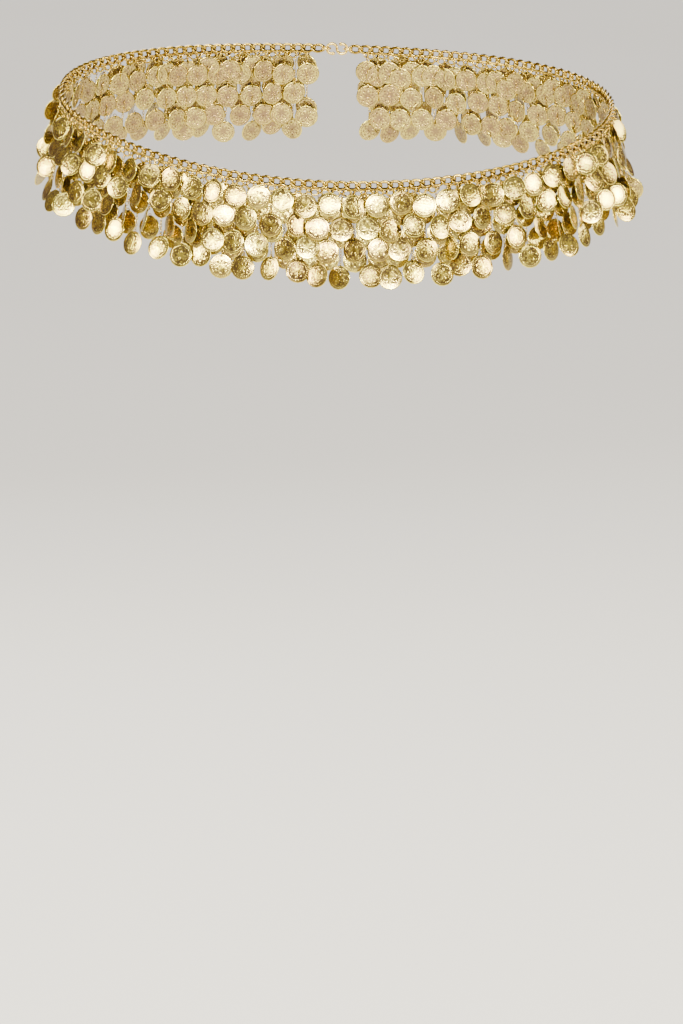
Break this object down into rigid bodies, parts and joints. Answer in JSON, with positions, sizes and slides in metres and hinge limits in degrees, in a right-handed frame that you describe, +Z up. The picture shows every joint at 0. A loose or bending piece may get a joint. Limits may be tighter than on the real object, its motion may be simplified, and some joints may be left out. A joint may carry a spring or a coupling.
{
  "type": "coin belt",
  "caption": "Gold coin belt worn on the hips: a curb chain fastened behind with a hook, and below it a deep fringe of round coins in staggered rows on fine strands.",
  "frame": {"origin": "the middle of the wearer's hips, where they hold the belt, level with the chain's top edge at the two sides", "axes": "+Z up, -Y to the wearer's front, +X to the wearer's left, which is the image's right"},
  "size_m": [0.3711, 0.2617, 0.1195],
  "materials": {
    "chain_gold": "bright plated",
    "coin_gold": "stamped and plated",
    "clasp_gold": "bright plated"
  },
  "bodies": {
    "root": {"waist_chain": "chain_gold", "coin_fringe_01": "coin_gold", "coin_fringe_02": "coin_gold", "coin_fringe_03": "coin_gold", "coin_fringe_04": "coin_gold", "coin_fringe_05": "coin_gold", "coin_fringe_06": "coin_gold", "coin_fringe_07": "coin_gold", "coin_fringe_08": "coin_gold", "coin_fringe_09": "coin_gold", "coin_fringe_10": "coin_gold", "coin_fringe_11": "coin_gold", "coin_fringe_12": "coin_gold", "coin_fringe_13": "coin_gold", "coin_fringe_14": "coin_gold", "coin_fringe_15": "coin_gold", "coin_fringe_16": "coin_gold", "coin_fringe_17": "coin_gold", "coin_fringe_18": "coin_gold", "coin_fringe_19": "coin_gold", "coin_fringe_20": "coin_gold", "coin_fringe_21": "coin_gold", "end_link_left": "clasp_gold", "end_link_right": "clasp_gold", "closing_hook": "clasp_gold"}
  },
  "joints": []
}
